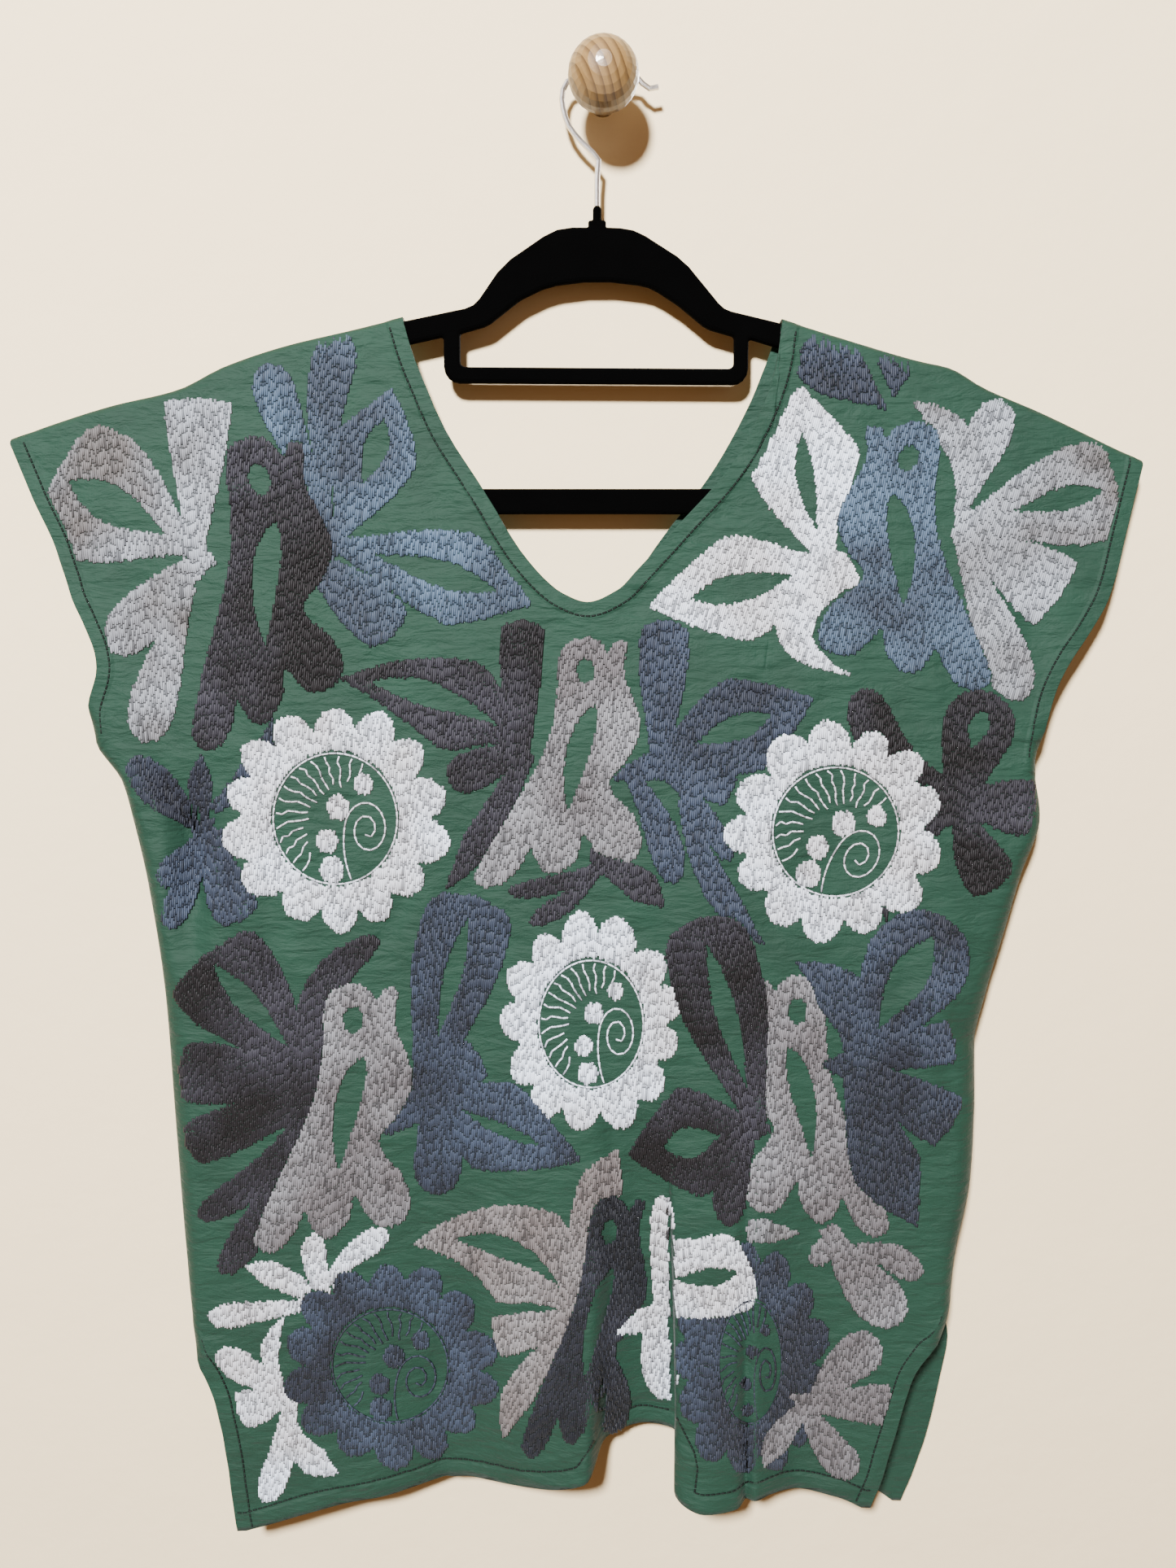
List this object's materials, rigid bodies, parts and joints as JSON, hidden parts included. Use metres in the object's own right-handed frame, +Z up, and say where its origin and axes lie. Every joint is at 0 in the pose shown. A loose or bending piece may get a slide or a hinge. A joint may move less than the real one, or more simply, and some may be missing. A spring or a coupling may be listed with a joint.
{
  "type": "embroidered huipil blouse on a velvet hanger hooked over a wooden wall knob",
  "caption": "V-neck huipil blouse with wide cut-in sleeves and side slits, hung flat on a slim hanger whose wire hook goes over a round wall knob.",
  "frame": {"origin": "centre of the wall knob's flat back face, on the wall", "axes": "+Z up, +Y into the wall, +X to the right as seen from the front"},
  "size_m": [0.5935, 0.0498, 0.7947],
  "materials": {
    "green_cloth": "plain-weave green rayon with a slight sheen, densely embroidered in white, grey, slate and plum thread",
    "black_velvet": "black flocked velvet over moulded plastic",
    "chrome_wire": "bright plated steel wire",
    "pale_wood": "oiled pale pine with brown grain lines"
  },
  "bodies": {
    "root": {"front_panel": "green_cloth", "back_panel": "green_cloth", "hanger_frame": "black_velvet", "hanger_hook": "chrome_wire", "wall_knob": "pale_wood"}
  },
  "joints": []
}
